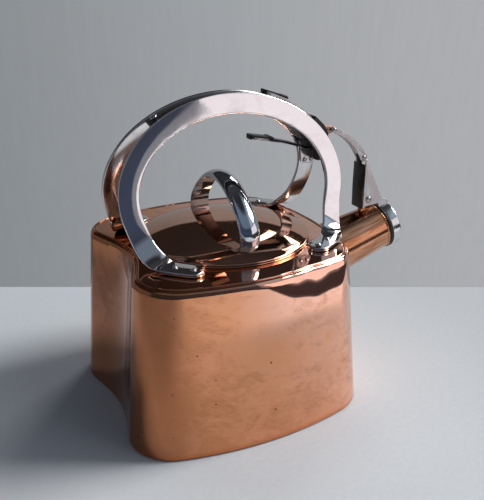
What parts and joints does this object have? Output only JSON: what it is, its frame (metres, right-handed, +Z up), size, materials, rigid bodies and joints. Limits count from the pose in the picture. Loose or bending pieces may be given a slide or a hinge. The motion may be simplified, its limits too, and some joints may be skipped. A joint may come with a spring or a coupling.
{
  "type": "whistling tea kettle",
  "caption": "Copper stove kettle with a coved body, lift-off lid, slanted chrome bow handle, grip, and a spout whistle that a thumb lever opens.",
  "frame": {"origin": "on the flat bottom, under the lid's axis", "axes": "+Z up, +X to the spout, +Y to the back"},
  "size_m": [0.2504, 0.1824, 0.2246],
  "materials": {
    "copper": "polished copper, tinned inside",
    "chrome": "polished",
    "steel": "satin",
    "black_plastic": "satin black",
    "black_rubber": "matt black"
  },
  "bodies": {
    "kettle": {"body_shell": "copper", "shoulder_plate": "copper", "base_plate": "copper", "lid_collar": "copper", "spout_tube": "copper", "spout_lug": "copper", "handle_bow_front": "chrome", "handle_bow_rear": "chrome", "foot_rivet_front_1": "steel", "foot_rivet_front_2": "steel", "foot_rivet_front_3": "steel", "foot_rivet_front_4": "steel", "foot_rivet_rear_1": "steel", "foot_rivet_rear_2": "steel", "foot_rivet_rear_3": "steel", "foot_rivet_rear_4": "steel", "grip_insert": "black_plastic", "grip_screw": "steel", "pivot_bracket_front": "steel", "pivot_bracket_rear": "steel", "bracket_rivet_front_1": "steel", "bracket_rivet_front_2": "steel", "bracket_rivet_rear_1": "steel", "bracket_rivet_rear_2": "steel", "lever_pin": "steel", "lever_spacer_front": "steel", "lever_spacer_rear": "steel", "whistle_pivot_pin": "steel", "return_spring": "steel"},
    "lid": {"lid_dome": "copper", "lid_skirt": "copper", "lid_knob": "chrome", "knob_screw_front": "steel", "knob_screw_rear": "steel"},
    "lever": {"lever_body": "black_plastic", "thumb_strip": "steel", "thumb_pad": "black_plastic", "finger_strip": "steel", "finger_pad": "black_plastic", "lever_horn": "copper", "link_pin": "steel"},
    "link": {"link_strap": "steel", "arm_pin": "steel"},
    "whistle": {"arm_channel": "steel", "arm_cover": "black_plastic", "whistle_cap": "chrome", "whistle_disc": "steel", "cap_gasket": "black_rubber"}
  },
  "joints": [
    {"name": "lid_lift", "type": "slide", "parent": "kettle", "child": "lid", "axis": [0, 0, 1], "range_m": [0, 0.015]},
    {"name": "lever_press", "type": "hinge", "parent": "kettle", "child": "lever", "pos_m": [0.0755, 0, 0.178], "axis": [0, -1, 0], "range_deg": [0, 10], "stiffness_Nm_per_rad": 0.3, "springref_deg": -20.05},
    {"name": "link_swing", "type": "hinge", "parent": "lever", "child": "link", "pos_m": [0.09, 0, 0.1906], "axis": [0, -1, 0], "range_deg": [-18.4, 0.2]},
    {"name": "whistle_open", "type": "hinge", "parent": "kettle", "child": "whistle", "pos_m": [0.1235, 0, 0.1328], "axis": [0, -1, 0], "range_deg": [-0.2, 10.8]}
  ],
  "couplings": [
    {"joint": "link_swing", "follows": "lever_press", "ratio": -1.824},
    {"joint": "whistle_open", "follows": "lever_press", "ratio": 1.068}
  ]
}
